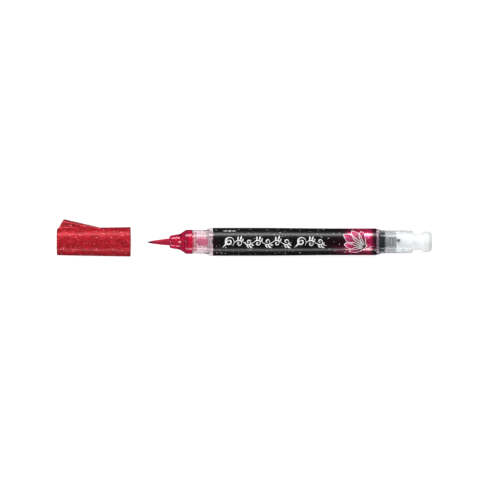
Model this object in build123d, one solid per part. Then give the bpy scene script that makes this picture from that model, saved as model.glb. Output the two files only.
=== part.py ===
"""Brush-tipped calligraphy marker with a push-button ink feed and a pull-off cap.

The pen lies along X, with the brush towards -X and the push button towards +X. The origin is
on the pen's axis at the front edge of the printed film. +Y is the side of the cap's fin and +Z
is up, the printed side. Lengths are in millimetres. The cap is off and lies in line with the
pen, in front of the brush.

Pushing the button slides the ink tank towards the brush. The valve poppet stands on the front
section's web, so the seat leaves it and ink runs into the feed. A spring returns the tank.
"""

import os

from build123d import *

# Driving dimensions: stations along the pen
BRUSH_TIP = -32.5
NOZZLE_FRONT = -21.5
NOZZLE_STEM_END = -16.3  # end of the nozzle's slim stem
NOZZLE_CONE_END = -13.3
NOZZLE_BACK = -10.1  # nozzle meets the clear front section
FLARE_START = -4.2
BARREL_FRONT = -1.9  # rim of the barrel, where the cap's mouth stops
FILM_FRONT = 0.0
GRIP_END = 25.0  # the barrel is a true cylinder up to here
TAPER_END = 57.0  # and again behind this
FILM_BACK = 80.8
SHOULDER_END = 82.9
BARREL_BACK = 85.0
SLEEVE_BACK = 98.8
HEAD_FRONT = 103.1
PEN_BACK = 108.3

# Driving dimensions: outer radii
NOZZLE_TIP_R = 3.05
NOZZLE_STEM_R = 3.93
NOZZLE_RING_R = 5.97
SECTION_R = 5.8
FLARE_R = 6.3
BARREL_FRONT_R = 6.82
BARREL_BACK_R = 6.53
NECK_R = 5.65
SLEEVE_R = 5.6
STEM_R = 4.05
HEAD_R = 5.15

# Driving dimensions: cap
CAP_LENGTH = 36.4
CAP_MOUTH = -40.8  # where the open cap's mouth lies
CAP_MOUTH_R = 7.3
CAP_END_R = 6.68
CAP_WALL = 0.95
CAP_END_WALL = 1.2
FIN_HEIGHT = 11.3  # top of the fin above the pen's axis
FIN_PEAK = 3.3  # fin's top corner, behind the cap's closed end
FIN_RUN = 22.0  # where the fin's slope meets the cap, behind the closed end
LINER_DEPTH = 14.9  # inner cap's lip, behind the cap's mouth

# Mechanism
STROKE = 2.5
RUNNING_GAP = 0.05  # between pieces that slide in each other
FIT_GAP = 0.03  # between pieces that are fixed in each other

# Inside the pen
FILM_WALL = 0.09
BARREL_WALL = 0.9
BRUSH_R = 1.8
ROOT_FRONT = -12.9
ROOT_BACK = -11.9
ROOT_R = 2.6
SPIGOT_BACK = -8.1
SPIGOT_R = 4.95
FEED_CORE_FRONT = -7.6
FEED_CORE_R = 2.1
FEED_TUBE_R = 0.6
WEB_FRONT = -2.1
WEB_BACK = -0.5
SECTION_BACK = 11.5
SECTION_BORE_R = 4.5  # the tank's nose slides here
TANK_FRONT = WEB_BACK + STROKE + 0.4
NOSE_R = 4.3
NOSE_BORE_R = 3.45
NOSE_BACK = 14.5
TANK_R = 5.2
TANK_BORE_R = 4.6
TANK_BACK = 80.7
SEAT_BACK = TANK_FRONT + 2.0
POPPET_FRONT = SEAT_BACK + 0.6
POPPET_BACK = POPPET_FRONT + 1.0
CAGE_BACK = 13.5
BOSS_R = 2.2
NECK_BORE_R = 4.95
BUSH_FRONT = 81.2
BUSH_BACK = 85.6
BUSH_WALL = 0.6
BUSH_CORE_R = 3.65
SLEEVE_PLUG_R = 4.3
COLLAR_FRONT = 90.9
COLLAR_BACK = 92.8
COLLAR_R = 4.6
SLEEVE_BORE_R = 4.7
STEM_BORE_R = 2.95
STEM_BACK = 105.1
BALL_R = 1.9
BALL_X = 43.0

CAP_END = CAP_MOUTH - CAP_LENGTH


def turned(*outline):
    """A solid of revolution about the X axis from (x, radius) corners."""
    return revolve(make_face(Polyline(*outline, close=True)), Axis.X)


def tube(x_front, x_back, inner_r, outer_r):
    """A plain tube along the X axis."""
    return turned((x_front, inner_r), (x_front, outer_r), (x_back, outer_r), (x_back, inner_r))


def rims(solid, x, radius):
    """The round edges of a turned solid at one station and radius."""
    return [
        edge
        for edge in solid.edges().filter_by(GeomType.CIRCLE)
        if abs(edge.arc_center.X - x) < 0.01 and abs(edge.radius - radius) < 0.01
    ]


def o_ring(x, centre_r, wire_r):
    return revolve(Pos(x, centre_r) * Circle(wire_r), Axis.X)


def coil(x_front, x_back, centre_r, wire_r, turns):
    """A compression spring about the X axis, just clear of the faces at both stations."""
    clearance = 1.1 * wire_r
    height = x_back - x_front - 2 * clearance
    path = Helix(pitch=height / turns, height=height, radius=centre_r)
    profile = Plane(origin=path @ 0, z_dir=path % 0) * Circle(wire_r)
    spring = sweep(profile, path=path, is_frenet=True)
    return Pos(x_front + clearance, 0, 0) * (Rot(0, 90, 0) * spring)


# Cap


def cap_r(depth):
    """Outer radius of the cap at a depth behind its mouth."""
    return CAP_MOUTH_R - (CAP_MOUTH_R - CAP_END_R) * depth / CAP_LENGTH


def cap_bore_r(depth):
    return cap_r(depth) - CAP_WALL


def fin_wedge(inset, foot_r):
    """The fin: tall and narrow at the closed end, low and wide where it runs out on the cap.

    A positive inset gives the smaller wedge that hollows it out.
    """
    sink = 0.15 + inset
    narrow = 1.7 - inset
    wide = 3.4 - inset
    front = CAP_END + 0.65 + inset
    peak = CAP_END + FIN_PEAK + 0.6 * inset
    run_out = CAP_END + FIN_RUN - 4.0 * inset
    side = Polyline(
        (front, foot_r),
        (front, CAP_END_R - sink),
        (peak, FIN_HEIGHT - inset),
        (run_out, cap_r(CAP_LENGTH - FIN_RUN) - sink),
        (run_out, foot_r),
        close=True,
    )
    plan = Polyline((front, -narrow), (run_out, -wide), (run_out, wide), (front, narrow), close=True)
    slab = extrude(make_face(side), amount=wide, both=True)
    upright = Rot(90, 0, 0) * extrude(make_face(plan), amount=2 * FIN_HEIGHT, both=True)
    return slab & upright


def cap_shell():
    """Tapered cap with a fin on one side that stops it rolling."""
    body = turned((CAP_END, 0), (CAP_END, CAP_END_R), (CAP_MOUTH, CAP_MOUTH_R), (CAP_MOUTH, 0))
    body = fillet(rims(body, CAP_END, CAP_END_R), 0.6)
    body = fillet(rims(body, CAP_MOUTH, CAP_MOUTH_R), 0.2)
    fin = fin_wedge(0, foot_r=4.0)
    crest = [edge for edge in fin.edges() if edge.bounding_box().max.Y > FIN_HEIGHT - 0.01]
    fin = fillet(crest, 1.0)
    bore = turned(
        (CAP_END + CAP_END_WALL, 0),
        (CAP_END + CAP_END_WALL, cap_bore_r(CAP_LENGTH - CAP_END_WALL)),
        (CAP_MOUTH, cap_bore_r(0)),
        (CAP_MOUTH, 0),
    )
    shell = body + fin - bore - fin_wedge(0.8, foot_r=4.2)
    return shell.solid()


def cap_liner():
    """Inner cap: a thin cup on three outer ribs, whose lip closes round the nozzle's stem."""
    lip = CAP_MOUTH - LINER_DEPTH
    lip_r = NOZZLE_STEM_R + RUNNING_GAP
    back = CAP_END + CAP_END_WALL
    cup_r = 5.2
    cup_bore_r = 4.6
    liner = turned(
        (back, 0),
        (back, cup_bore_r),
        (back + 0.8, cup_r),
        (lip - 1.0, cup_r),
        (lip, cup_r - 0.3),
        (lip, lip_r),
        (lip - 0.6, lip_r),
        (lip - 1.4, cup_bore_r),
        (back + 1.2, cup_bore_r),
        (back + 0.8, cup_bore_r - 0.4),
        (back + 0.8, 0),
    )
    rib_width = 0.8
    for rib_x in (back + 3.0, back + 10.0, lip - 2.2):
        rib_r = cap_bore_r(CAP_MOUTH - rib_x) - FIT_GAP
        liner += tube(rib_x, rib_x + rib_width, cup_r - 0.2, rib_r)
    return liner


# Brush and nozzle


def bristle_bundle():
    """The nylon bundle: a slightly bellied cone outside the nozzle, a straight shank inside."""
    tip_r = 0.06
    belly = (-28.5, 0.98)
    outline = [
        Line((BRUSH_TIP, 0), (BRUSH_TIP, tip_r)),
        ThreePointArc((BRUSH_TIP, tip_r), belly, (NOZZLE_FRONT, BRUSH_R)),
        Line((NOZZLE_FRONT, BRUSH_R), (ROOT_FRONT, BRUSH_R)),
        Line((ROOT_FRONT, BRUSH_R), (ROOT_FRONT, 0)),
        Line((ROOT_FRONT, 0), (BRUSH_TIP, 0)),
    ]
    bundle = revolve(make_face(Wire(outline)), Axis.X)
    feed_hole = tube(-26.5, ROOT_FRONT, 0, FEED_TUBE_R + 0.02)
    return bundle - feed_hole


def bristle_root():
    """The bundle's melted foot, a collar that can't pull out of the nozzle."""
    return tube(ROOT_FRONT, ROOT_BACK, FEED_TUBE_R + 0.02, ROOT_R)


def brush_nozzle():
    """Glossy stepped nose that holds the brush and plugs into the front section."""
    bore_r = BRUSH_R + FIT_GAP
    pocket_r = 3.4
    groove_r = 4.1
    groove_front = -9.5
    groove_back = -8.5
    body = turned(
        (NOZZLE_FRONT, bore_r),
        (NOZZLE_FRONT, NOZZLE_TIP_R),
        (NOZZLE_STEM_END, NOZZLE_STEM_R),
        (NOZZLE_CONE_END, NOZZLE_RING_R),
        (NOZZLE_BACK, NOZZLE_RING_R),
        (NOZZLE_BACK, SPIGOT_R),
        (groove_front, SPIGOT_R),
        (groove_front, groove_r),
        (groove_back, groove_r),
        (groove_back, SPIGOT_R),
        (SPIGOT_BACK, SPIGOT_R),
        (SPIGOT_BACK, pocket_r),
        (ROOT_BACK, pocket_r),
        (ROOT_BACK, ROOT_R + FIT_GAP),
        (ROOT_FRONT, ROOT_R + FIT_GAP),
        (ROOT_FRONT, bore_r),
    )
    body = fillet(rims(body, NOZZLE_FRONT, NOZZLE_TIP_R), 1.0)
    body = fillet(rims(body, NOZZLE_STEM_END, NOZZLE_STEM_R), 4.0)
    body = fillet(rims(body, NOZZLE_CONE_END, NOZZLE_RING_R), 0.5)
    return fillet(rims(body, NOZZLE_BACK, NOZZLE_RING_R), 0.2)


def root_retainer():
    """Press ring behind the brush's root."""
    return tube(ROOT_BACK, SPIGOT_BACK - 0.2, 1.0, 3.4 - FIT_GAP)


# Front section and feed


def front_section():
    """Clear front section: an outer shell, an inner tube for the feed core, and a web."""
    shell_bore_r = 4.7
    socket_r = SPIGOT_R + 0.05
    socket_back = SPIGOT_BACK + 0.1
    core_tube_r = 3.0
    core_bore_r = FEED_CORE_R + FIT_GAP
    plug_r = BARREL_FRONT_R - BARREL_WALL - FIT_GAP
    ink_hole_r = 1.0
    body = turned(
        (NOZZLE_BACK, socket_r),
        (NOZZLE_BACK, SECTION_R),
        (FLARE_START, SECTION_R),
        (BARREL_FRONT, FLARE_R),
        (BARREL_FRONT, plug_r),
        (SECTION_BACK, plug_r),
        (SECTION_BACK, SECTION_BORE_R),
        (WEB_BACK, SECTION_BORE_R),
        (WEB_BACK, ink_hole_r),
        (WEB_FRONT, ink_hole_r),
        (WEB_FRONT, core_bore_r),
        (FEED_CORE_FRONT, core_bore_r),
        (FEED_CORE_FRONT, core_tube_r),
        (WEB_FRONT - 0.4, core_tube_r),
        (WEB_FRONT - 0.4, shell_bore_r),
        (socket_back, shell_bore_r),
        (socket_back, socket_r),
    )
    return fillet(rims(body, NOZZLE_BACK, SECTION_R), 0.2)


def feed_core():
    """Finned spool that meters the ink, seen through the clear section."""
    fin_pitch = 0.85
    fin_width = 0.45
    hub_r = 1.5
    core = tube(FEED_CORE_FRONT, WEB_FRONT, FEED_TUBE_R + 0.02, hub_r)
    fin_count = 1 + int((WEB_FRONT - FEED_CORE_FRONT - fin_width) / fin_pitch)
    for i in range(fin_count):
        fin_x = FEED_CORE_FRONT + i * fin_pitch
        core += tube(fin_x, fin_x + fin_width, hub_r - 0.1, FEED_CORE_R)
    return core


def feed_tube():
    """Thin tube that carries ink into the middle of the brush."""
    return tube(-26.4, -5.5, 0.3, FEED_TUBE_R)


# Barrel


def barrel_outline(lift):
    """(x, radius) corners of the barrel's outside under the film, raised by a lift."""
    return [
        (FILM_FRONT, BARREL_FRONT_R + lift),
        (GRIP_END, BARREL_FRONT_R + lift),
        (TAPER_END, BARREL_BACK_R + lift),
        (FILM_BACK, BARREL_BACK_R + lift),
    ]


def barrel_tube():
    """Clear barrel: a long gently tapered tube with a rounded shoulder and a neck."""
    throat_x = SHOULDER_END - 0.8
    shoulder_mid = (FILM_BACK + 1.25, BARREL_BACK_R - 0.32)
    front = (BARREL_FRONT, BARREL_FRONT_R)
    outside = barrel_outline(0)[1:]
    shoulder_foot = (SHOULDER_END, NECK_R + 0.1)
    inside = [
        shoulder_foot,
        (BARREL_BACK, NECK_R),
        (BARREL_BACK, NECK_BORE_R),
        (throat_x, NECK_BORE_R),
        (FILM_BACK + 0.2, BARREL_BACK_R - BARREL_WALL),
        (TAPER_END, BARREL_BACK_R - BARREL_WALL),
        (GRIP_END, BARREL_FRONT_R - BARREL_WALL),
        (BARREL_FRONT, BARREL_FRONT_R - BARREL_WALL),
        front,
    ]
    outline = Wire(
        [
            *Polyline(front, *outside).edges(),
            ThreePointArc(outside[-1], shoulder_mid, shoulder_foot),
            *Polyline(*inside).edges(),
        ]
    )
    body = revolve(make_face(outline), Axis.X)
    return fillet(rims(body, BARREL_FRONT, BARREL_FRONT_R), 0.25)


def barrel_film():
    """Printed film shrunk over the barrel."""
    lift = 0.01
    inner = barrel_outline(lift)
    outer = barrel_outline(lift + FILM_WALL)
    return turned(*inner, *reversed(outer))


def tail_sleeve():
    """Translucent sleeve plugged into the neck's bush. It guides the button's stem."""
    stem_bore_r = STEM_R + RUNNING_GAP
    stop_x = COLLAR_BACK + 0.1
    front_wall = 0.6
    body = turned(
        (BUSH_FRONT + BUSH_WALL + 0.1, BUSH_CORE_R + FIT_GAP),
        (BUSH_FRONT + BUSH_WALL + 0.1, SLEEVE_PLUG_R),
        (BARREL_BACK, SLEEVE_PLUG_R),
        (BARREL_BACK, SLEEVE_R),
        (SLEEVE_BACK, SLEEVE_R),
        (SLEEVE_BACK, stem_bore_r),
        (stop_x, stem_bore_r),
        (stop_x, SLEEVE_BORE_R),
        (BARREL_BACK + front_wall, SLEEVE_BORE_R),
        (BARREL_BACK + front_wall, BUSH_CORE_R + FIT_GAP),
    )
    return chamfer(rims(body, SLEEVE_BACK, SLEEVE_R), 0.4)


def guide_bush():
    """Dark bush in the neck: a skirt, and a core through which the tank plug's boss slides.

    The sleeve's plug sits in the channel between them.
    """
    bore_r = BOSS_R + RUNNING_GAP
    web_back = BUSH_FRONT + BUSH_WALL
    return turned(
        (BUSH_FRONT, bore_r),
        (BUSH_FRONT, NECK_BORE_R - 0.4),
        (BUSH_FRONT + 0.3, NECK_BORE_R - FIT_GAP),
        (BARREL_BACK, NECK_BORE_R - FIT_GAP),
        (BARREL_BACK, SLEEVE_PLUG_R + FIT_GAP),
        (web_back, SLEEVE_PLUG_R + FIT_GAP),
        (web_back, BUSH_CORE_R),
        (BUSH_BACK, BUSH_CORE_R),
        (BUSH_BACK, bore_r),
    )


# Sliding tank and push button


def ink_tank():
    """Ink tank with a slim nose in front, grooved for a ring, that holds the valve."""
    groove_front = 5.1
    groove_back = 5.8
    groove_r = 3.87
    return turned(
        (TANK_FRONT, NOSE_BORE_R),
        (TANK_FRONT, NOSE_R),
        (groove_front, NOSE_R),
        (groove_front, groove_r),
        (groove_back, groove_r),
        (groove_back, NOSE_R),
        (NOSE_BACK, NOSE_R),
        (NOSE_BACK + 1.4, TANK_R),
        (TANK_BACK, TANK_R),
        (TANK_BACK, TANK_BORE_R),
        (NOSE_BACK + 1.9, TANK_BORE_R),
        (NOSE_BACK + 0.6, NOSE_BORE_R),
    )


def tank_plug():
    """Dark plug in the back of the tank. Its long boss carries the push button."""
    plug_front = 75.5
    plug_r = TANK_BORE_R - FIT_GAP
    return turned(
        (plug_front, 0),
        (plug_front, plug_r - 0.3),
        (plug_front + 0.6, plug_r),
        (TANK_BACK, plug_r),
        (TANK_BACK, BOSS_R),
        (COLLAR_BACK - 0.3, BOSS_R),
        (COLLAR_BACK, BOSS_R - 0.3),
        (COLLAR_BACK, 0),
    )


def button_stem():
    """Hollow stem. The return spring bears on its collar, which stops against the sleeve."""
    stem = tube(COLLAR_BACK, STEM_BACK, STEM_BORE_R, STEM_R)
    return stem + tube(COLLAR_FRONT, COLLAR_BACK, BOSS_R + FIT_GAP, COLLAR_R)


def button_head():
    """White head pushed onto the stem's back end."""
    socket_r = STEM_R + FIT_GAP
    body = turned(
        (HEAD_FRONT, socket_r),
        (HEAD_FRONT, socket_r + 0.2),
        (HEAD_FRONT + 1.1, HEAD_R),
        (PEN_BACK - 1.5, HEAD_R),
        (PEN_BACK, HEAD_R - 1.0),
        (PEN_BACK, 0),
        (PEN_BACK - 1.3, 0),
        (PEN_BACK - 1.3, STEM_BORE_R),
        (STEM_BACK, STEM_BORE_R),
        (STEM_BACK, socket_r),
    )
    body = fillet(rims(body, PEN_BACK - 1.5, HEAD_R), 0.8)
    return fillet(rims(body, PEN_BACK, HEAD_R - 1.0), 0.4)


# Valve


def valve_seat():
    """Ring pressed into the tank's nose. The poppet closes its hole from behind."""
    return tube(TANK_FRONT, SEAT_BACK, 1.5, NOSE_BORE_R - FIT_GAP)


def valve_poppet():
    """Poppet whose slotted front end stands on the front section's web."""
    stem_r = 1.1
    guide_r = 0.9
    front = WEB_BACK + RUNNING_GAP
    poppet = turned(
        (front, 0),
        (front, stem_r),
        (POPPET_FRONT, stem_r),
        (POPPET_FRONT, 2.4),
        (POPPET_BACK, 2.4),
        (POPPET_BACK, guide_r),
        (POPPET_BACK + 1.6, guide_r),
        (POPPET_BACK + 2.0, guide_r - 0.4),
        (POPPET_BACK + 2.0, 0),
    )
    ink_slot = Pos(front + 0.4, 0, 0) * Box(0.8, 3 * stem_r, 0.6)
    return poppet - ink_slot


def poppet_seal():
    """Rubber washer on the front of the poppet's head."""
    return tube(SEAT_BACK, POPPET_FRONT, 1.1 + FIT_GAP, 2.3)


def spring_cage():
    """Slotted cup behind the poppet. It holds the valve spring and lets ink past."""
    inner_r = 2.7
    outer_r = NOSE_BORE_R - FIT_GAP
    end_wall = 1.0
    cage = tube(SEAT_BACK, CAGE_BACK - end_wall, inner_r, outer_r)
    cage += tube(CAGE_BACK - end_wall, CAGE_BACK, 1.2, outer_r)
    slot = Pos(0.5 * (SEAT_BACK + CAGE_BACK), 0, 0) * Box(3.6, 8.0, 1.4)
    for angle in (0, 90):
        cage -= Rot(angle, 0, 0) * slot
    return cage


def agitator_ball():
    """Steel ball that stirs the pigment, lying on the tank's wall."""
    return Pos(BALL_X, 0, -(TANK_BORE_R - BALL_R - FIT_GAP)) * Sphere(BALL_R)


PARTS = {
    "cap_shell": cap_shell(),
    "cap_liner": cap_liner(),
    "bristle_bundle": bristle_bundle(),
    "bristle_root": bristle_root(),
    "brush_nozzle": brush_nozzle(),
    "root_retainer": root_retainer(),
    "nozzle_o_ring": o_ring(-9.0, centre_r=4.55, wire_r=0.44),
    "front_section": front_section(),
    "feed_core": feed_core(),
    "feed_tube": feed_tube(),
    "barrel_tube": barrel_tube(),
    "barrel_film": barrel_film(),
    "tail_sleeve": tail_sleeve(),
    "guide_bush": guide_bush(),
    "return_spring": coil(BUSH_BACK, COLLAR_FRONT, centre_r=3.1, wire_r=0.2, turns=4),
    "ink_tank": ink_tank(),
    "tank_plug": tank_plug(),
    "tank_o_ring": o_ring(5.45, centre_r=4.17, wire_r=0.29),
    "button_stem": button_stem(),
    "button_head": button_head(),
    "valve_seat": valve_seat(),
    "spring_cage": spring_cage(),
    "valve_spring": coil(POPPET_BACK, CAGE_BACK - 1.0, centre_r=1.8, wire_r=0.2, turns=5),
    "valve_poppet": valve_poppet(),
    "poppet_seal": poppet_seal(),
    "agitator_ball": agitator_ball(),
}

os.makedirs("parts", exist_ok=True)
for name, shape in PARTS.items():
    export_step(shape, f"parts/{name}.step")
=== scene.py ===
"""Looks for the calligraphy marker: its finishes, its brush, its springs and its printed film.

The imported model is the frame, and a piece that has to meet its nodes takes its place from their
boxes. Lengths are in millimetres along the pen (x), round the barrel (s, from the printed side's
middle line towards +Y) or out from the axis, and become metres only where a mesh is made. The
camera and the lamps are placed in metres.
"""

import math
import random

import bpy
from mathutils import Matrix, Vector


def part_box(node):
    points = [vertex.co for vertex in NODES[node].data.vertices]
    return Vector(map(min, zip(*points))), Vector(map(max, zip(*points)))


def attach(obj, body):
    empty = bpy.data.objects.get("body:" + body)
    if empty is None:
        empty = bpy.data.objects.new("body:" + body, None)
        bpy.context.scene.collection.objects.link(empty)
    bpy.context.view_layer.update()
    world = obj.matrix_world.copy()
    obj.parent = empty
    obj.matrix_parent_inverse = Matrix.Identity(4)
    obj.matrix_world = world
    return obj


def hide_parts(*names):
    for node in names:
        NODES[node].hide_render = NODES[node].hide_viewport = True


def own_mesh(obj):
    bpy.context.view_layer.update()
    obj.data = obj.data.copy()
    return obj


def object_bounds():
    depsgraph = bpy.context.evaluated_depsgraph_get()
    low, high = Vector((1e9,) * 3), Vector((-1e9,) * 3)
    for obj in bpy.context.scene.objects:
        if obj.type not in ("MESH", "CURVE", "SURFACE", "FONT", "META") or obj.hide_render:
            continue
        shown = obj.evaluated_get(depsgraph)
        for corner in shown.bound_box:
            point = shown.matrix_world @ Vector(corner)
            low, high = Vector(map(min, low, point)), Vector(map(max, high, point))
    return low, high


MM = 0.001

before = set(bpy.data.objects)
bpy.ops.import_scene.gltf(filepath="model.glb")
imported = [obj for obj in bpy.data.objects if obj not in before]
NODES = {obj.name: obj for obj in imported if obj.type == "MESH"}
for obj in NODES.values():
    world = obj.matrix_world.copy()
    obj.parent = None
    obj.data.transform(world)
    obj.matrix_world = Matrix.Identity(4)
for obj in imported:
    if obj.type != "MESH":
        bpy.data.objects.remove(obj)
CAD_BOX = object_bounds()


def span(node):
    """Where a node starts and ends along the pen, in millimetres."""
    low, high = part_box(node)
    return low.x / MM, high.x / MM


def radius(node):
    """A turned node's largest radius, in millimetres."""
    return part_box(node)[1].z / MM


BRUSH_TIP, BRUSH_ROOT = span("bristle_bundle")
NOZZLE_FRONT = span("brush_nozzle")[0]
FILM_R = radius("barrel_film")
SLEEVE_R = radius("tail_sleeve")
BUSH_BACK = span("guide_bush")[1]
COLLAR_FRONT = span("button_stem")[0]
POPPET_SEAL_BACK = span("poppet_seal")[1]
CAGE_BACK = span("spring_cage")[1]
SHOULDER_BACK = span("guide_bush")[0] + 0.5
FIN_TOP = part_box("cap_shell")[1].y / MM
FIN_TOP_X = -73.7  # where the fin's crest is highest
FLOOR_Z = CAD_BOX[0].z


# Camera and light


def make_camera():
    """A very long lens looking straight down on the pen as it lies, with the fin's side up."""
    lens = 400.0
    sensor = 36.0
    view_width = 0.2376
    centre_x = 0.0134
    centre_y = 0.0009
    data = bpy.data.cameras.new("camera")
    data.lens = lens
    data.sensor_width = sensor
    camera = bpy.data.objects.new("camera", data)
    camera.location = (centre_x, centre_y, view_width * lens / sensor)
    bpy.context.scene.collection.objects.link(camera)
    bpy.context.scene.camera = camera


def softbox(name, place, target, size, power):
    """A rectangular area light that shows in reflections but not in the picture itself."""
    data = bpy.data.lights.new(name, "AREA")
    data.shape = "RECTANGLE"
    data.size, data.size_y = size
    data.energy = power
    light = bpy.data.objects.new(name, data)
    light.location = place
    light.rotation_mode = "QUATERNION"
    light.rotation_quaternion = (Vector(target) - light.location).to_track_quat("-Z", "Y")
    light.visible_camera = False
    bpy.context.scene.collection.objects.link(light)
    return light


def make_light():
    """Two long softboxes beside the pen, a small one ahead of it and a broad fill from above."""
    middle = (0.015, 0.0, 0.0)
    softbox("softbox_upper", (0.015, 0.548, 0.250), middle, (1.1, 0.20), 4.4)
    softbox("softbox_lower", (0.015, -0.567, 0.200), middle, (1.1, 0.14), 2.1)
    softbox("kicker", (-0.416, 0.0, 0.400), (-0.016, 0.0, 0.0), (0.26, 0.26), 1.6)
    fill = softbox("fill", (0.015, 0.0, 1.0), middle, (1.6, 1.6), 8.0)
    fill.visible_glossy = False
    world = bpy.data.worlds.new("room")
    world.use_nodes = True
    background = world.node_tree.nodes["Background"]
    background.inputs["Color"].default_value = (1.0, 1.0, 1.0, 1.0)
    background.inputs["Strength"].default_value = 0.022
    bpy.context.scene.world = world
    bpy.context.scene.view_settings.view_transform = "Standard"


# Materials


class Finish:
    """A node material under construction: a Principled shader and what feeds it."""

    def __init__(self, name, **sockets):
        self.material = bpy.data.materials.new(name)
        self.material.use_nodes = True
        self.tree = self.material.node_tree
        self.shader = self.tree.nodes["Principled BSDF"]
        for socket, value in sockets.items():
            self.set(socket, value)

    def set(self, socket, value):
        """Feed one of the shader's sockets, named with underscores for spaces."""
        self.feed(self.shader.inputs[socket.replace("_", " ")], value)

    def feed(self, socket, value):
        """Link another node's output to a socket, or set a plain number or colour on it."""
        if isinstance(value, bpy.types.NodeSocket):
            self.tree.links.new(value, socket)
        elif socket.type == "RGBA" and len(value) == 3:
            socket.default_value = (*value, 1.0)
        else:
            socket.default_value = value

    def node(self, kind, *inputs, **settings):
        """A shader node with its first inputs fed in order. None leaves one as it is."""
        made = self.tree.nodes.new("ShaderNode" + kind)
        for key, value in settings.items():
            setattr(made, key, value)
        for socket, value in zip(made.inputs, inputs):
            if value is not None:
                self.feed(socket, value)
        return made

    def math(self, operation, *inputs, clamp=False):
        """The result of a Math node on one, two or three values."""
        return self.node("Math", *inputs, operation=operation, use_clamp=clamp).outputs[0]

    def place(self, scale=(1.0, 1.0, 1.0)):
        """The point on the part in millimetres, stretched by a scale for each axis."""
        coordinates = self.node("TexCoord").outputs["Object"]
        factors = tuple(factor / MM for factor in scale)
        return self.node("VectorMath", coordinates, factors, operation="MULTIPLY").outputs[0]

    def noise(self, place, scale, detail=3.0, roughness=0.5):
        """Soft noise from 0 to 1, mostly near a half."""
        made = self.node("TexNoise")
        self.feed(made.inputs["Vector"], place)
        made.inputs["Scale"].default_value = scale
        made.inputs["Detail"].default_value = detail
        made.inputs["Roughness"].default_value = roughness
        return made.outputs["Fac"]

    def cells(self, place, scale, dimensions="3D"):
        """A Voronoi pattern: the distance to each cell's middle and the cell's own colour."""
        made = self.node("TexVoronoi", voronoi_dimensions=dimensions)
        self.feed(made.inputs["Vector"], place)
        made.inputs["Scale"].default_value = scale
        return made.outputs["Distance"], made.outputs["Color"]

    def remap(self, value, low, high, to_low=0.0, to_high=1.0, smooth=True):
        """Take low..high to to_low..to_high and stop at its ends. low may be above high."""
        made = self.node("MapRange", value, low, high, to_low, to_high)
        made.interpolation_type = "SMOOTHSTEP" if smooth else "LINEAR"
        return made.outputs[0]

    def mix(self, factor, first, second):
        """A blend of two colours: the first at a factor of 0, the second at 1."""
        made = self.node("Mix", data_type="RGBA")
        colour_a = made.inputs[6]
        colour_b = made.inputs[7]
        self.feed(made.inputs["Factor"], factor)
        self.feed(colour_a, first)
        self.feed(colour_b, second)
        return made.outputs[2]

    def ramp(self, value, *stops):
        """A colour ramp through (position, colour) stops."""
        made = self.node("ValToRGB", value)
        elements = made.color_ramp.elements
        while len(elements) < len(stops):
            elements.new(1.0)
        for element, (position, colour) in zip(elements, stops):
            element.position = position
            element.color = (*colour, 1.0)
        return made.outputs["Color"]

    def bump(self, height, strength, distance=0.02):
        """Surface relief, with its depth in millimetres."""
        made = self.node("Bump")
        made.inputs["Strength"].default_value = strength
        made.inputs["Distance"].default_value = distance * MM
        self.feed(made.inputs["Height"], height)
        return made.outputs["Normal"]

    def mottle(self, place, scale, tint, deep_tint):
        """Two tones that drift into each other, as moulded plastic shows."""
        cloud = self.noise(place, scale, detail=4.0)
        return self.mix(self.remap(cloud, 0.35, 0.7), tint, deep_tint)

    def scuff(self, roughness):
        """Roughness from this value to 0.1 more, in fine marks drawn out along the pen."""
        marks = self.noise(self.place((0.3, 2.0, 2.0)), 1.6, detail=5.0)
        self.set("Roughness", self.remap(marks, 0.35, 0.75, roughness, roughness + 0.10))

    def near(self, value, middle, outer, inner):
        """A band mask: full within inner of the middle value, nothing beyond outer."""
        off = self.math("ABSOLUTE", self.math("SUBTRACT", value, middle))
        return self.remap(off, outer, inner)

    def let_light_in(self, share):
        """Let this share of the lamps' light pass, as thin clear plastic does."""
        shadow = self.node("LightPath").outputs["Is Shadow Ray"]
        self.set("Alpha", self.math("MULTIPLY_ADD", shadow, -share, 1.0))

    def soak(self, colour, density):
        """Darken what is seen through the plastic, the more so the longer the way through it."""
        absorption = self.node("VolumeAbsorption")
        absorption.inputs["Color"].default_value = (*colour, 1.0)
        absorption.inputs["Density"].default_value = density
        output = self.tree.nodes["Material Output"]
        self.tree.links.new(absorption.outputs["Volume"], output.inputs["Volume"])

    def specks(self, place, scale, share, size, dimensions="3D"):
        """A mask of round specks. Each cell has one or none, of its own size in millimetres."""
        far, colour = self.cells(place, scale, dimensions)
        parts = self.node("SeparateColor", colour).outputs
        chosen = self.math("LESS_THAN", parts[0], share)
        reach = self.remap(parts[1], 0.0, 1.0, 0.45 * size * scale, size * scale, smooth=False)
        inner = self.math("MULTIPLY", reach, 0.65)
        disc = self.node("MapRange", far, inner, reach, 1.0, 0.0).outputs[0]
        return self.math("MULTIPLY", chosen, disc)


def fin_edges(finish, x, y):
    """Masks on the cap's fin: painted shade on its crest, painted highlights under it and along its
    foot.
    """
    crest_slope = -0.219
    highlight_depth = 1.15
    foot_y = 7.2
    crest_y = finish.math("MULTIPLY_ADD", x, crest_slope, FIN_TOP - crest_slope * FIN_TOP_X)
    depth = finish.math("SUBTRACT", crest_y, y)
    on_fin = finish.remap(y, foot_y - 0.2, foot_y + 0.2)
    # Painted shade along the crest.
    crest = finish.math("MULTIPLY", finish.remap(depth, 0.80, 0.35), on_fin)
    # A painted highlight line under the crest.
    painted_highlight = finish.math("MULTIPLY", finish.near(depth, highlight_depth, 0.40, 0.08), on_fin)
    tall_end = finish.remap(x, -67.0, -71.0)
    # A painted highlight line along the fin's foot at its tall end.
    foot = finish.math("MULTIPLY", finish.near(y, foot_y, 0.42, 0.08), tall_end)
    return crest, finish.math("MAXIMUM", painted_highlight, foot)


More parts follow.
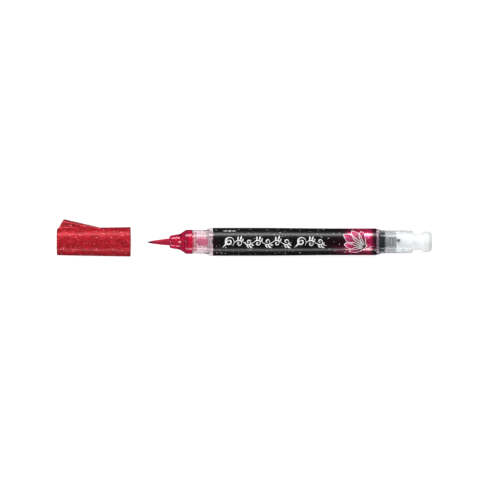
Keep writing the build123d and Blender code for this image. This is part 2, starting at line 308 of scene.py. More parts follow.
def glitter_red():
    """Red plastic full of metallic flakes under a clear skin, with painted shade and highlights on the
    fin.
    """
    finish = Finish(
        "glitter_red", Coat_Weight=0.22, Coat_Roughness=0.20, Specular_IOR_Level=0.3, IOR=1.5
    )
    place = finish.place()
    _, fine_colour = finish.cells(place, 4.5)
    fine = finish.node("SeparateColor", fine_colour).outputs
    cloud = finish.noise(place, 0.30, detail=4.0)

    red = finish.mix(finish.remap(cloud, 0.35, 0.65), (0.33, 0.003, 0.008), (0.45, 0.004, 0.016))
    sparkle = finish.remap(fine[0], 0.5, 1.0, smooth=False)
    red = finish.mix(finish.math("MULTIPLY", sparkle, 0.28), red, (0.70, 0.03, 0.06))
    x, y, _ = finish.node("SeparateXYZ", place).outputs
    # Painted shade: the fin's faces are darker.
    shaded_fin_face = finish.remap(y, 6.9, 8.2)
    red = finish.mix(finish.math("MULTIPLY", shaded_fin_face, 0.60), red, (0.16, 0.002, 0.006))
    crest, painted_highlight = fin_edges(finish, x, y)
    # Painted shade on the fin's crest.
    red = finish.mix(finish.math("MULTIPLY", crest, 0.6), red, (0.10, 0.001, 0.006))
    # Painted highlights under the crest and along the foot, patchy in strength.
    painted_light_weight = finish.remap(cloud, 0.30, 0.60, 0.25, 0.80)
    red = finish.mix(finish.math("MULTIPLY", painted_highlight, painted_light_weight), red, (0.86, 0.07, 0.09))
    dark = finish.specks(finish.place((1.07, 0.95, 1.02)), 0.95, 0.50, 0.42)
    red = finish.mix(finish.math("MULTIPLY", dark, 0.75), red, (0.09, 0.001, 0.008))
    bright = finish.specks(place, 0.85, 0.48, 0.37)
    grain = finish.specks(finish.place((0.94, 1.04, 1.0)), 1.9, 0.34, 0.17)
    bright = finish.math("MAXIMUM", bright, finish.math("MULTIPLY", grain, 0.65))
    red = finish.mix(finish.math("MULTIPLY", bright, 0.9), red, (0.98, 0.24, 0.30))
    finish.set("Base_Color", red)
    finish.set("Metallic", finish.math("MULTIPLY_ADD", bright, -0.30, 0.42))
    finish.set("Roughness", finish.remap(fine[1], 0.0, 1.0, 0.30, 0.48))

    # Each fine flake leans its own way.
    lean = finish.node("VectorMath", fine_colour, (0.5, 0.5, 0.5), operation="SUBTRACT").outputs[0]
    lean = finish.node("VectorMath", lean, (0.45, 0.45, 0.45), operation="MULTIPLY").outputs[0]
    normal = finish.node("NewGeometry").outputs["Normal"]
    tilted = finish.node("VectorMath", normal, lean, operation="ADD").outputs[0]
    tilted = finish.node("VectorMath", tilted, operation="NORMALIZE").outputs[0]
    finish.set("Normal", tilted)
    orange_peel = finish.noise(place, 0.8, detail=2.0)
    finish.set("Coat_Normal", finish.bump(orange_peel, 0.25, distance=0.03))
    return finish.material


def wet_bristle():
    """Ink-wet nylon: each filament has its own tone, brighter near the nozzle, dark at the point."""
    finish = Finish(
        "wet_bristle",
        Coat_Weight=0.12,
        Coat_Roughness=0.2,
        Subsurface_Weight=0.1,
        Specular_IOR_Level=0.25,
    )
    finish.set("Subsurface_Radius", (0.0008, 0.0002, 0.0002))
    tone = finish.node("Attribute", attribute_name="tone").outputs["Fac"]
    along = finish.node("Attribute", attribute_name="along").outputs["Fac"]
    streak = finish.noise(finish.place((0.15, 3.0, 3.0)), 1.2)
    shade = finish.math("ADD", finish.math("MULTIPLY", tone, 0.7), finish.math("MULTIPLY", streak, 0.4))
    red = finish.ramp(
        shade,
        (0.2, (0.14, 0.001, 0.010)),
        (0.55, (0.38, 0.004, 0.034)),
        (0.95, (0.66, 0.014, 0.07)),
    )
    inside = finish.remap(along, 0.42, 0.30)
    red = finish.mix(finish.math("MULTIPLY", inside, 0.5), red, (0.85, 0.015, 0.012))
    tip = finish.remap(along, 0.80, 0.98)
    finish.set("Base_Color", finish.mix(tip, red, (0.07, 0.004, 0.012)))
    finish.set("Roughness", finish.remap(streak, 0.3, 0.7, 0.22, 0.42))
    return finish.material


CLEAR_IOR = 1.49
FLOW = (0.5, 1.0, 1.0)  # stretches a pattern along the pen, the way the plastic flowed


def ripple(finish, place):
    """The slight unevenness of a moulded clear wall."""
    return finish.bump(finish.noise(place, 0.35, detail=1.0), 0.06, distance=0.03)


def clear_plastic(name, tint, deep_tint, roughness, weight, light, body=None, **sockets):
    """Moulded see-through plastic: faint flow marks, a slight ripple and handling haze.

    The weight is how much of it is see-through, and the light is the share of the lamps' light
    that it lets in. The body is the colour and density of the plastic itself, which show where it
    is thick.
    """
    finish = Finish(name, Transmission_Weight=weight, IOR=CLEAR_IOR, **sockets)
    if body:
        finish.soak(*body)
    place = finish.place(FLOW)
    finish.set("Base_Color", finish.mottle(place, 0.45, tint, deep_tint))
    finish.scuff(roughness)
    finish.set("Normal", ripple(finish, place))
    finish.let_light_in(light)
    return finish.material


def clear_barrel():
    """Clear barrel plastic: painted shade where the dark bush fills its neck, painted light at the
    shoulder.
    """
    finish = Finish("barrel_clear", IOR=CLEAR_IOR, Specular_IOR_Level=0.2)
    finish.soak((0.50, 0.50, 0.50), 5.0)
    place = finish.place(FLOW)
    x = finish.node("SeparateXYZ", finish.place()).outputs[0]
    clear = finish.mottle(place, 0.45, (0.985, 0.925, 0.945), (0.97, 0.90, 0.92))
    # Painted shade: the neck is darkened where the dark bush lies in it.
    neck = finish.remap(x, SHOULDER_BACK, SHOULDER_BACK + 0.6)
    # Painted light: the shoulder is paler and less clear.
    at_shoulder = finish.remap(x, SHOULDER_BACK - 1.6, SHOULDER_BACK - 1.1)
    painted_light_weight = finish.math("MULTIPLY", at_shoulder, finish.math("SUBTRACT", 1.0, neck))
    clear = finish.mix(at_shoulder, clear, (0.90, 0.66, 0.76))
    finish.set("Base_Color", finish.mix(neck, clear, (0.35, 0.38, 0.40)))
    finish.set("Transmission_Weight", finish.math("MULTIPLY_ADD", painted_light_weight, -0.12, 1.0))
    finish.scuff(0.10)
    finish.set("Normal", ripple(finish, place))
    finish.let_light_in(0.80)
    return finish.material


def frosted_sleeve():
    """Frosted plastic with painted shade, darker towards its front end and a little greyer on the fin's
    side.
    """
    painted_shade_to = 90.0
    finish = Finish(
        "sleeve_frosted", Transmission_Weight=0.84, IOR=CLEAR_IOR, Specular_IOR_Level=0.3
    )
    finish.soak((0.53, 0.56, 0.57), 95.0)
    place = finish.place()
    x, y, _ = finish.node("SeparateXYZ", place).outputs
    plain = finish.mottle(place, 0.5, (0.96, 0.97, 0.98), (0.93, 0.94, 0.95))
    # Painted shade: a little greyer on the fin's side.
    plain = finish.mix(finish.remap(y, 2.0, 5.4), plain, (0.89, 0.91, 0.92))
    # Painted shade: darker towards the front end.
    painted_shade_front = finish.remap(x, painted_shade_to + 1.0, painted_shade_to)
    finish.set("Base_Color", finish.mix(painted_shade_front, plain, (0.66, 0.675, 0.69)))
    finish.scuff(0.16)
    finish.set("Normal", finish.bump(finish.noise(place, 5.0), 0.05, distance=0.01))
    finish.let_light_in(0.75)
    return finish.material


def moulded_plastic(name, colour, shade, roughness, shaded_flank=None, **sockets):
    """Opaque moulded plastic with a fine satin grain and slightly uneven colour.

    The colour given for the fin's side, if any, is painted shade that the plastic turns to there.
    """
    finish = Finish(name, IOR=1.5, **sockets)
    place = finish.place()
    cloud = finish.noise(place, 0.3, detail=5.0)
    base = finish.mix(finish.remap(cloud, 0.3, 0.75), colour, shade)
    # Painted shade on the fin's side.
    if shaded_flank:
        y = finish.node("SeparateXYZ", place).outputs[1]
        base = finish.mix(finish.remap(y, 1.0, 5.0), base, shaded_flank)
    finish.set("Base_Color", base)
    haze = finish.noise(place, 1.1, detail=4.0)
    finish.set("Roughness", finish.remap(haze, 0.3, 0.75, roughness, roughness + 0.15))
    grain = finish.noise(place, 7.0, detail=3.0)
    finish.set("Normal", finish.bump(grain, 0.25, distance=0.01))
    return finish.material


def drawn_steel(name, colour, roughness):
    """Steel with fine marks and a slight tarnish."""
    finish = Finish(name, Metallic=1.0)
    place = finish.place()
    tarnish = finish.noise(place, 0.9, detail=5.0)
    darker = tuple(channel * 0.7 for channel in colour)
    finish.set("Base_Color", finish.mix(finish.remap(tarnish, 0.35, 0.8), colour, darker))
    marks = finish.noise(finish.place((0.5, 4.0, 4.0)), 3.0, detail=3.0)
    finish.set("Roughness", finish.remap(marks, 0.3, 0.7, roughness, roughness + 0.2))
    finish.set("Normal", finish.bump(marks, 0.2, distance=0.01))
    return finish.material


def black_rubber():
    """Dull black rubber with a paler bloom in patches."""
    finish = Finish("black_rubber", Specular_IOR_Level=0.3)
    place = finish.place()
    bloom = finish.noise(place, 1.2, detail=5.0)
    patches = finish.remap(bloom, 0.4, 0.8)
    finish.set("Base_Color", finish.mix(patches, (0.02, 0.02, 0.02), (0.05, 0.05, 0.05)))
    finish.set("Roughness", finish.remap(bloom, 0.3, 0.8, 0.55, 0.75))
    finish.set("Normal", finish.bump(finish.noise(place, 6.0), 0.3, distance=0.02))
    return finish.material


def film_heat(finish, x, turn):
    """How far the film's ink has gone from black to magenta, 0 to 1, at x and a turn from +Z.

    A haze comes up on the side away from the fin, then a glow all round with silky streaks and one
    hotter band, which is a painted highlight. The glow dies down at the very back and dims on the
    flank away from the fin as painted shade. A faint stain sits at the front edge.
    """
    haze_from, haze_full = 54.0, 70.0
    glow_from, glow_full = 63.5, 70.5
    fade_from, fade_end = 76.8, 80.3
    band_turn = 0.50
    stain_full, stain_end = 0.5, 5.0
    cloud = finish.noise(finish.place((0.7, 1.0, 1.0)), 0.16, detail=5.0, roughness=0.55)
    drift = finish.math("MULTIPLY_ADD", cloud, 16.0, -8.0)
    silk = finish.noise(finish.place((0.35, 1.1, 1.1)), 0.30, detail=6.0, roughness=0.6)

    low_side = finish.remap(turn, 0.5, -0.9)
    haze = finish.remap(finish.math("ADD", x, drift), haze_from, haze_full)
    haze = finish.math("MULTIPLY", haze, finish.math("MULTIPLY_ADD", low_side, 0.85, 0.15))
    haze = finish.math("MULTIPLY", haze, 0.55)
    glow_x = finish.math("ADD", x, finish.math("MULTIPLY", drift, 0.35))
    glow = finish.remap(glow_x, glow_from, glow_full)
    heat = finish.math("ADD", haze, finish.math("MULTIPLY", glow, 0.66), clamp=True)
    heat = finish.math("MULTIPLY", heat, finish.remap(silk, 0.32, 0.66, 0.52, 1.12))
    # Painted shade: the ink dims on the flank away from the fin.
    heat = finish.math("MULTIPLY", heat, finish.remap(turn, -1.15, -0.55, 0.45, 1.0))
    # Painted highlight: a hotter band of ink along one turn of the glow.
    band = finish.math("MULTIPLY", finish.near(turn, band_turn, 0.42, 0.12), glow)
    heat = finish.math("MULTIPLY_ADD", band, 0.32, heat)
    heat = finish.math("MULTIPLY", heat, finish.remap(x, fade_end, fade_from, 0.20, 1.0))
    at_front = finish.remap(x, stain_end, stain_full)
    stain = finish.math("MULTIPLY", at_front, finish.remap(turn, 0.6, 0.0))
    return finish.math("ADD", heat, finish.math("MULTIPLY", stain, 0.10))


def printed_film():
    """Gloss film: black night with pale specks, and a pearly magenta glow towards the back."""
    finish = Finish(
        "printed_film", IOR=1.5, Specular_IOR_Level=0.40, Coat_IOR=2.4, Coat_Roughness=0.19
    )
    place = finish.place()
    x, y, z = finish.node("SeparateXYZ", place).outputs
    turn = finish.math("ARCTAN2", y, z)
    heat = film_heat(finish, x, turn)
    ink = finish.ramp(
        heat,
        (0.0, (0.0020, 0.0020, 0.0022)),
        (0.14, (0.014, 0.0010, 0.0050)),
        (0.36, (0.090, 0.0010, 0.020)),
        (0.62, (0.46, 0.0015, 0.065)),
        (0.82, (0.78, 0.006, 0.125)),
        (1.0, (0.97, 0.085, 0.32)),
    )

    # The specks are drawn on the film unrolled flat.
    flat = finish.node("CombineXYZ", x, finish.math("MULTIPLY", turn, FILM_R), 0.0).outputs[0]
    crowd = finish.remap(finish.noise(flat, 0.10, detail=2.0), 0.36, 0.62, 0.22, 0.75)
    pale = finish.specks(flat, 0.34, crowd, 0.30, "2D")
    dust = finish.specks(flat, 0.62, 0.30, 0.16, "2D")
    ink = finish.mix(finish.math("MULTIPLY", dust, 0.6), ink, (0.50, 0.47, 0.51))
    ink = finish.mix(pale, ink, (0.80, 0.78, 0.80))
    finish.set("Base_Color", ink)
    pearl = finish.remap(heat, 0.35, 0.70)
    finish.set("Metallic", finish.math("MULTIPLY", pearl, 0.55))
    finish.set("Coat_Weight", finish.math("MULTIPLY_ADD", pearl, 0.88, 0.09))

    rub = finish.noise(finish.place((0.05, 3.0, 3.0)), 1.5, detail=6.0)
    gloss = finish.remap(rub, 0.35, 0.75, 0.28, 0.38)
    finish.set("Roughness", finish.math("MULTIPLY_ADD", pearl, 0.04, gloss))
    slack = finish.noise(finish.place((0.25, 1.0, 1.0)), 0.35, detail=2.0)
    finish.set("Normal", finish.bump(slack, 0.2, distance=0.04))
    return finish.material


def opaque_ink(name, colour, shade):
    """Opaque ink of the print, a little uneven in its cover."""
    finish = Finish(name, Coat_Weight=0.3, Coat_Roughness=0.2)
    place = finish.place()
    cover = finish.noise(place, 2.5, detail=4.0)
    finish.set("Base_Color", finish.mix(finish.remap(cover, 0.45, 0.75), colour, shade))
    finish.set("Roughness", finish.remap(cover, 0.3, 0.7, 0.3, 0.5))
    finish.set("Normal", finish.bump(cover, 0.2, distance=0.01))
    return finish.material


def petal_ink():
    """Glossy pink ink: dark at the petal's foot, light towards its rim."""
    finish = Finish("petal_ink", Coat_Weight=0.4, Coat_Roughness=0.12)
    reach = finish.node("Attribute", attribute_name="reach").outputs["Fac"]
    cloud = finish.noise(finish.place(), 1.1, detail=4.0)
    tone = finish.math("MULTIPLY_ADD", cloud, 0.35, finish.math("SUBTRACT", reach, 0.17))
    ink = finish.ramp(
        tone,
        (0.0, (0.05, 0.001, 0.010)),
        (0.35, (0.15, 0.002, 0.028)),
        (0.7, (0.42, 0.008, 0.100)),
        (1.0, (0.80, 0.07, 0.27)),
    )
    finish.set("Base_Color", ink)
    finish.set("Roughness", finish.remap(cloud, 0.3, 0.7, 0.2, 0.35))
    return finish.material


def paper_floor():
    """Plain near-white paper that carries its own brightness, with a faint tooth."""
    finish = Finish(
        "paper_floor", Base_Color=(0.40, 0.40, 0.40), Roughness=0.9, Specular_IOR_Level=0.1
    )
    finish.set("Emission_Color", (1.0, 1.0, 1.0))
    finish.set("Emission_Strength", 0.74)
    tooth = finish.noise(finish.place(), 1.5, detail=3.0)
    finish.set("Normal", finish.bump(tooth, 0.1, distance=0.05))
    return finish.material


# Meshes


def new_mesh(name, vertices, faces, attributes=None):
    """A smooth-shaded mesh object from points in millimetres."""
    mesh = bpy.data.meshes.new(name)
    mesh.from_pydata([tuple(c * MM for c in point) for point in vertices], [], faces)
    for key, values in (attributes or {}).items():
        layer = mesh.attributes.new(key, "FLOAT", "POINT")
        layer.data.foreach_set("value", values)
    mesh.shade_smooth()
    piece = bpy.data.objects.new(name, mesh)
    bpy.context.scene.collection.objects.link(piece)
    return piece


def add_piece(piece, material, body):
    """Finish a piece and hang it on a body of the frame."""
    piece.data.materials.append(material)
    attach(piece, body)
    return piece


def add_tube(vertices, faces, path, radii, sides):
    """Append a closed tube along a path of Vectors to vertex and face lists."""
    start = len(vertices)
    tangent = (path[1] - path[0]).normalized()
    side = tangent.orthogonal().normalized()
    for i, point in enumerate(path):
        ahead = path[min(i + 1, len(path) - 1)]
        behind = path[max(i - 1, 0)]
        tangent = (ahead - behind).normalized()
        side = (side - tangent * side.dot(tangent)).normalized()
        up = tangent.cross(side)
        for k in range(sides):
            a = 2 * math.pi * k / sides
            vertices.append(point + radii[i] * (math.cos(a) * side + math.sin(a) * up))
    rings = len(path)
    for i in range(rings - 1):
        for k in range(sides):
            a = start + i * sides + k
            b = start + i * sides + (k + 1) % sides
            faces.append((a, b, b + sides, a + sides))
    faces.append(tuple(start + k for k in reversed(range(sides))))
    faces.append(tuple(start + (rings - 1) * sides + k for k in range(sides)))


def spring_piece(name, x_front, x_back, centre_r, wire_r, turns):
    """A compression spring whose coils lie closer together at both ends."""
    per_turn = 36
    sides = 12
    closing = 0.10
    steps = int(turns * per_turn)
    front = x_front + 1.1 * wire_r
    back = x_back - 1.1 * wire_r
    path = []
    for i in range(steps + 1):
        t = i / steps
        eased = t - closing * math.sin(2 * math.pi * t)
        x = front + (back - front) * eased
        a = 2 * math.pi * turns * t
        path.append(Vector((x, centre_r * math.sin(a), centre_r * math.cos(a))))
    vertices, faces = [], []
    add_tube(vertices, faces, path, [wire_r] * len(path), sides)
    return new_mesh(name, vertices, faces)


# The brush


BRUSH_LAYERS = (
    # share of the brush's radius, how many filaments
    (1.0, 84),
    (0.86, 70),
    (0.68, 50),
    (0.42, 26),
    (0.12, 5),
)


def brush_envelope(x):
    """Outer radius of the wet brush: a soft point that swells to the nozzle's bore."""
    bore_r = 1.8
    out = (x - BRUSH_TIP) / (NOZZLE_FRONT - BRUSH_TIP)
    return bore_r * min(1.0, max(0.0, out)) ** 0.62


def brush_droop(x):
    """How far the wet point leans to the side away from the fin."""
    lean = 0.22
    out = min(1.0, max(0.0, (NOZZLE_FRONT - x) / (NOZZLE_FRONT - BRUSH_TIP)))
    return -lean * out**0.6


def brush_filaments():
    """The nylon filaments, outer ones ending earlier than those that make the point."""
    rng = random.Random(7)
    filament_r = 0.095
    steps = 18
    sides = 6
    vertices, faces, tones, along = [], [], [], []
    for layer, count in BRUSH_LAYERS:
        for i in range(count):
            share = layer * rng.uniform(0.965, 1.0)
            angle = 2 * math.pi * (i + rng.uniform(-0.35, 0.35)) / count
            swirl = rng.uniform(-0.10, 0.10)
            end = BRUSH_TIP + 0.08 + share**2 * rng.uniform(0.0, 4.2) * (rng.random() < 0.8)
            path, radii = [], []
            tone = rng.random()
            for k in range(steps + 1):
                t = k / steps
                x = BRUSH_ROOT + (end - BRUSH_ROOT) * t
                taper = 1.0 - 0.78 * max(0.0, (t - 0.45) / 0.55) ** 1.6
                wire = filament_r * taper
                reach = max(0.0, share * brush_envelope(x) - wire)
                a = angle + swirl * t
                path.append(Vector((x, reach * math.sin(a) + brush_droop(x), reach * math.cos(a))))
                radii.append(wire)
                tones += [tone] * sides
                along += [(BRUSH_ROOT - x) / (BRUSH_ROOT - BRUSH_TIP)] * sides
            add_tube(vertices, faces, path, radii, sides)
    return new_mesh("brush_filaments", vertices, faces, {"tone": tones, "along": along})


# The print on the film


def film_radius(x):
    """Outer radius of the film at a station: straight, then tapered, then straight again."""
    back_r = FILM_R - 0.29
    grip_end = 25.0
    taper_end = 57.0
    share = min(1.0, max(0.0, (x - grip_end) / (taper_end - grip_end)))
    return FILM_R + share * (back_r - FILM_R)


def sleeve_radius(_):
    """Outer radius of the sleeve, the same at every station."""
    return SLEEVE_R


def on_round(r, x, s, lift):
    """The point at x along the pen and s round a wall of radius r from its top middle line."""
    a = s / r
    return (x, (r + lift) * math.sin(a), (r + lift) * math.cos(a))


class Print:
    """Raised strokes and shapes of one ink, gathered into one mesh of closed solids.

    The ground gives the radius of the wall they lie on, at a station along the pen.
    """

    foot = -0.02  # how deep they are sunk in the wall

    def __init__(self, lift, ground=film_radius):
        self.lift = lift
        self.ground = ground
        self.vertices = []
        self.faces = []
        self.reach = []

    def slab(self, left, right, reach=None):
        """A closed strip between two rows of (x, s) points."""
        start = len(self.vertices)
        count = len(left)
        for i, (a, b) in enumerate(zip(left, right)):
            for (x, s), height in ((a, self.foot), (a, self.lift), (b, self.lift), (b, self.foot)):
                self.vertices.append(on_round(self.ground(x), x, s, height))
                self.reach.append(reach[i] if reach else 0.0)
        for i in range(count - 1):
            for k in range(4):
                a = start + 4 * i + k
                b = start + 4 * i + (k + 1) % 4
                self.faces.append((a, b, b + 4, a + 4))
        self.faces.append(tuple(start + k for k in (3, 2, 1, 0)))
        self.faces.append(tuple(start + 4 * (count - 1) + k for k in (0, 1, 2, 3)))

    def stroke(self, points, width):
        """A pen stroke along (x, s) points. width is a function of the share drawn, 0 to 1."""
        left, right = [], []
        last = len(points) - 1
        for i, (x, s) in enumerate(points):
            ahead = points[min(i + 1, last)]
            behind = points[max(i - 1, 0)]
            dx, ds = ahead[0] - behind[0], ahead[1] - behind[1]
            length = math.hypot(dx, ds) or 1.0
            half = max(0.02, 0.5 * width(i / last))
            left.append((x - ds / length * half, s + dx / length * half))
            right.append((x + ds / length * half, s - dx / length * half))
        self.slab(left, right)

    def mesh(self, name):
        """All that was drawn, as one piece."""
        return new_mesh(name, self.vertices, self.faces, {"reach": self.reach})


def swelling(thin, thick):
    """A stroke's width: pointed at both ends, fullest just after the middle."""
    return lambda t: thin + (thick - thin) * math.sin(math.pi * min(1.0, t) ** 1.15) ** 1.3


def spiral(x, s, size, start, direction, turns=1.45):
    """Points of a curl that winds into (x, s)."""
    count = 60
    points = []
    for i in range(count + 1):
        t = i / count
        a = start + direction * 2 * math.pi * turns * t
        r = size * (1.0 - 0.86 * t**0.85)
        points.append((x + r * math.cos(a), s + r * math.sin(a)))
    return points


def leaf(x, s, heading, length):
    """Points along a small curved leaf."""
    count = 16
    points = []
    for i in range(count + 1):
        t = i / count
        a = heading + 0.5 * (t - 0.5)
        points.append((x + length * t * math.cos(a), s + length * t * math.sin(a)))
    return points


TENDRIL_LEAVES = (
    # place along the stem from a wave's crest, heading in radians, longest length, width
    (-0.9, 1.20, 2.5, 0.75),
    (0.3, 1.00, 3.0, 0.85),
    (1.3, 0.75, 1.9, 0.60),
)


def tendril(art, first, last, waves, middle, height):
    """A waving stem with a curl and slanting leaves at each wave."""
    pitch = (last - first) / waves
    rng = random.Random(waves)

    def stem(x):
        return middle + height * math.sin(math.pi * (x - first) / pitch)

    def stem_width(t):
        return 0.24 + 0.26 * abs(math.sin(math.pi * waves * t)) ** 2

    count = 30 * waves
    line = [first + (last - first) * i / count for i in range(count + 1)]
    art.stroke([(x, stem(x)) for x in line], stem_width)
    for i in range(waves):
        side = 1 if i % 2 == 0 else -1
        crest = first + pitch * (i + 0.5)
        size = rng.uniform(1.35, 1.6)
        hub = middle + side * (height - size)
        curl = spiral(crest, hub, size, side * math.pi / 2, -side, turns=1.15)
        art.stroke(curl, swelling(0.14, 0.50))
        for shift, heading, longest, width in TENDRIL_LEAVES:
            foot_x = crest + shift
            length = longest * rng.uniform(0.75, 1.0)
            blade = leaf(foot_x, stem(foot_x), side * heading, length)
            art.stroke(blade, swelling(0.06, width))


SWASHES = (
    # middle of the swash in x and s, its size, its tendril's start and end, the tendril's waves
    (8.0, 0.1, 2.8, 10.6, 38.6, 6),
    (43.6, 0.1, 2.7, 46.1, 55.2, 2),
)


def scroll_ornament():
    """A pen flourish along the barrel: two large swashes, each with a leafy tendril behind it."""
    art = Print(lift=0.02)
    for x, s, size, first, last, waves in SWASHES:
        swash = spiral(x, s, size, -0.25 * math.pi, 1, turns=1.6)
        art.stroke(swash, swelling(0.18, 0.70))
        art.stroke(leaf(x - 3.4, -2.9, 0.80, 5.2), swelling(0.08, 0.80))
        tendril(art, first, last, waves, middle=-0.35, height=1.05)
    return art.mesh("scroll_ornament")


DIVIDER_S = 6.15
DIVIDER = (
    # start, end, width
    (4.9, 7.8, 0.50),
    (7.7, 9.1, 1.2),
    (9.0, 11.9, 0.50),
)


def divider_ornament():
    """A small diamond between two tapering dashes, above the flourish."""
    art = Print(lift=0.02)
    for start, end, width in DIVIDER:
        points = [(start + (end - start) * k / 16, DIVIDER_S) for k in range(17)]
        art.stroke(points, lambda t, width=width: width * (1 - abs(2 * t - 1)))
    return art.mesh("divider_ornament")


BLOSSOM = (75.4, -2.9)  # x and s of the foot that the petals fan out from
PETALS = (
    # heading in degrees, length, half width
    (104.0, 9.0, 1.45),
    (126.0, 11.3, 1.80),
    (148.5, 12.8, 2.00),
    (171.0, 10.6, 1.75),
    (195.0, 8.4, 1.45),
)


def petal_point(petal, t, side):
    """A point on a petal: t along it, side from -1 to 1 across it, with a ruffled rim."""
    heading, length, half_width = petal
    a = math.radians(heading)
    ruffle = 1.0 + 0.06 * math.sin(13.0 * t + heading)
    reach = length * t
    across = side * half_width * ruffle * math.sin(math.pi * t**1.5) ** 0.75
    bend = 0.3 * math.sin(math.pi * t)
    x = BLOSSOM[0] + reach * math.cos(a) - (across + bend) * math.sin(a)
    s = BLOSSOM[1] + reach * math.sin(a) + (across + bend) * math.cos(a)
    return x, s


def blossom_fill():
    """Pink petals that fan out from one foot, each built of strips from foot to rim."""
    art = Print(lift=0.006)
    steps = 22
    strips = 8
    for petal in PETALS:
        for k in range(strips):
            low, high = 2 * k / strips - 1, 2 * (k + 1) / strips - 1
            stations = [0.02 + 0.96 * i / steps for i in range(steps + 1)]
            left = [petal_point(petal, t, high) for t in stations]
            right = [petal_point(petal, t, low) for t in stations]
            art.slab(left, right, reach=stations)
    return art.mesh("blossom_petals")


def blossom_lines():
    """White rims round the petals, a calyx and a curling stalk."""
    rim_from = 0.14
    art = Print(lift=0.022)
    for petal in PETALS:
        stations = [rim_from + (1.0 - rim_from) * i / 60 for i in range(61)]
        rim = [petal_point(petal, t, 1.0) for t in stations]
        rim += [petal_point(petal, t, -1.0) for t in reversed(stations[:-1])]
        art.stroke(rim, lambda t: 0.20 + 0.12 * math.sin(5 * math.pi * t) ** 2)
    foot_x, foot_s = BLOSSOM
    stalk = []
    for i in range(21):
        wave = 0.55 * math.sin(1.5 * math.pi * i / 20)
        stalk.append((foot_x + 3.4 * i / 20, foot_s - wave))
    art.stroke(stalk, swelling(0.14, 0.36))
    for heading, length in ((60, 2.0), (238, 1.9), (-32, 2.3)):
        art.stroke(leaf(foot_x, foot_s, math.radians(heading), length), swelling(0.08, 0.52))
    return art.mesh("blossom_lines")


def blossom_veins():
    """Dark veins that fan out along each petal."""
    art = Print(lift=0.012)
    for petal in PETALS:
        for side in (-0.55, 0.0, 0.55):
            reach = 0.80 - 0.16 * abs(side)
            vein = []
            for i in range(21):
                t = i / 20
                vein.append(petal_point(petal, 0.05 + reach * t, side * t**0.6))
            art.stroke(vein, lambda t: 0.30 * (1 - t) + 0.05)
    return art.mesh("blossom_veins")


def disc(art, x, s, r):
    """Add a round flat spot to a print."""
    steps = 24
    rows = [-math.cos(math.pi * i / steps) for i in range(steps + 1)]
    half = [r * math.sqrt(max(0.0, 1.0 - row * row)) for row in rows]
    upper = [(x + r * row, s + h) for row, h in zip(rows, half)]
    lower = [(x + r * row, s - h) for row, h in zip(rows, half)]
    art.slab(upper, lower)


SPOT_X = 91.6
SPOT_S = 0.7


def sleeve_marks():
    """A dark round spot on the sleeve, with a short dash beside it."""
    dash_s = -0.85
    art = Print(lift=0.03, ground=sleeve_radius)
    disc(art, SPOT_X, SPOT_S, 0.80)
    art.stroke([(SPOT_X - 0.7 + 1.4 * i / 8, dash_s) for i in range(9)], lambda t: 0.22)
    return art.mesh("sleeve_marks")


def sleeve_mark_centre():
    """The paler middle of the spot."""
    art = Print(lift=0.045, ground=sleeve_radius)
    disc(art, SPOT_X, SPOT_S, 0.55)
    return art.mesh("sleeve_mark_centre")


# Floor


def make_floor():
    """A broad sheet of paper that the part lies on."""
    half = 3000
    corners = [(-half, -half, 0), (half, -half, 0), (half, half, 0), (-half, half, 0)]
    floor = new_mesh("floor", corners, [(0, 1, 2, 3)])
    floor.location.z = FLOOR_Z
    floor.data.materials.append(paper_floor())
    floor.visible_glossy = False


# Put it together

make_camera()
make_light()
make_floor()

bristle = wet_bristle()
steel = drawn_steel("spring_wire", (0.62, 0.63, 0.65), roughness=0.25)
rubber = black_rubber()
pink = moulded_plastic("feed_pink", (1.0, 0.11, 0.42), (0.92, 0.08, 0.33), roughness=0.4)
dark = moulded_plastic(
    "dark_plastic",
    (0.024, 0.031, 0.037),
    (0.017, 0.022, 0.026),
    roughness=0.40,
    Specular_IOR_Level=0.25,
)
white = moulded_plastic(
    "button_white",
    (0.81, 0.83, 0.835),
    (0.77, 0.79, 0.795),
    roughness=0.36,
    # Painted shade on the fin's side of the button.
    shaded_flank=(0.60, 0.615, 0.62),
    Coat_Weight=0.1,
)
retainer = moulded_plastic("retainer_crimson", (1.0, 0.22, 0.50), (0.95, 0.16, 0.40), roughness=0.35)
natural = clear_plastic(
    "natural_plastic",
    (0.88, 0.88, 0.86),
    (0.82, 0.82, 0.80),
    roughness=0.35,
    weight=0.45,
    light=0.6,
)
silicone = clear_plastic(
    "seal_silicone",
    (0.86, 0.62, 0.68),
    (0.78, 0.48, 0.56),
    roughness=0.35,
    weight=0.55,
    light=0.5,
)
crimson = clear_plastic(
    "nozzle_crimson",
    (0.72, 0.018, 0.13),
    (0.64, 0.014, 0.100),
    roughness=0.12,
    weight=0.84,
    light=0.80,
    body=((0.62, 0.20, 0.34), 175.0),
    Coat_Weight=0.65,
    Coat_Roughness=0.20,
)
section = clear_plastic(
    "section_clear",
    (0.93, 0.80, 0.84),
    (0.92, 0.75, 0.80),
    roughness=0.08,
    weight=0.98,
    light=0.80,
    body=((0.54, 0.50, 0.505), 115.0),
    Specular_IOR_Level=0.3,
)

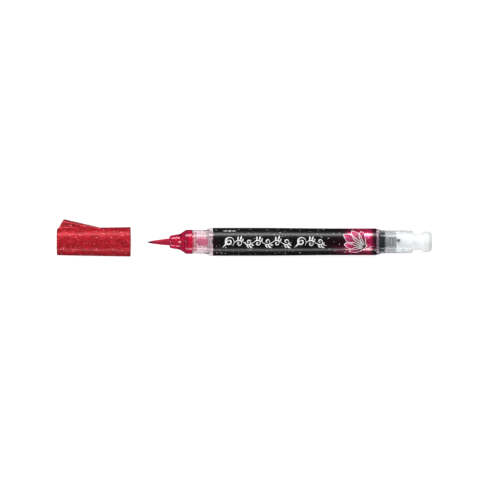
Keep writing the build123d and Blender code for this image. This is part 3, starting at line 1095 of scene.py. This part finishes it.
FINISHES = {
    "cap_shell": glitter_red(),
    "cap_liner": natural,
    "bristle_bundle": bristle,
    "bristle_root": bristle,
    "brush_nozzle": crimson,
    "root_retainer": retainer,
    "nozzle_o_ring": silicone,
    "front_section": section,
    "feed_core": pink,
    "feed_tube": pink,
    "barrel_tube": clear_barrel(),
    "barrel_film": printed_film(),
    "tail_sleeve": frosted_sleeve(),
    "guide_bush": dark,
    "return_spring": steel,
    "ink_tank": natural,
    "tank_plug": dark,
    "tank_o_ring": rubber,
    "button_stem": white,
    "button_head": white,
    "valve_seat": natural,
    "spring_cage": natural,
    "valve_spring": steel,
    "valve_poppet": dark,
    "poppet_seal": rubber,
    "agitator_ball": drawn_steel("ball_steel", (0.72, 0.72, 0.73), roughness=0.06),
}
for name, material in FINISHES.items():
    mesh = NODES[name].data
    mesh.materials.clear()
    mesh.materials.append(material)

filaments = add_piece(brush_filaments(), bristle, "barrel")
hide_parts("bristle_bundle")

return_coil = add_piece(
    spring_piece("return_coil", BUSH_BACK, COLLAR_FRONT, centre_r=3.1, wire_r=0.2, turns=4.0),
    steel,
    "barrel",
)
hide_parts("return_spring")
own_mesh(return_coil)

POPPET_BACK = POPPET_SEAL_BACK + 1.0
CAGE_WALL = CAGE_BACK - 1.0
valve_coil = add_piece(
    spring_piece("valve_coil", POPPET_BACK, CAGE_WALL, centre_r=1.8, wire_r=0.2, turns=5.0),
    steel,
    "tank",
)
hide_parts("valve_spring")
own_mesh(valve_coil)

silver = opaque_ink("silver_ink", (0.83, 0.83, 0.84), (0.66, 0.66, 0.68))
maroon = opaque_ink("maroon_ink", (0.035, 0.002, 0.010), (0.06, 0.003, 0.018))
for piece, material in (
    (scroll_ornament(), silver),
    (divider_ornament(), silver),
    (blossom_fill(), petal_ink()),
    (blossom_veins(), maroon),
    (blossom_lines(), silver),
):
    add_piece(piece, material, "barrel")
grey = moulded_plastic("mark_grey", (0.13, 0.15, 0.15), (0.10, 0.12, 0.12), roughness=0.45)
slate = moulded_plastic("mark_slate", (0.035, 0.04, 0.04), (0.03, 0.035, 0.035), roughness=0.45)
add_piece(sleeve_marks(), slate, "barrel")
add_piece(sleeve_mark_centre(), grey, "barrel")
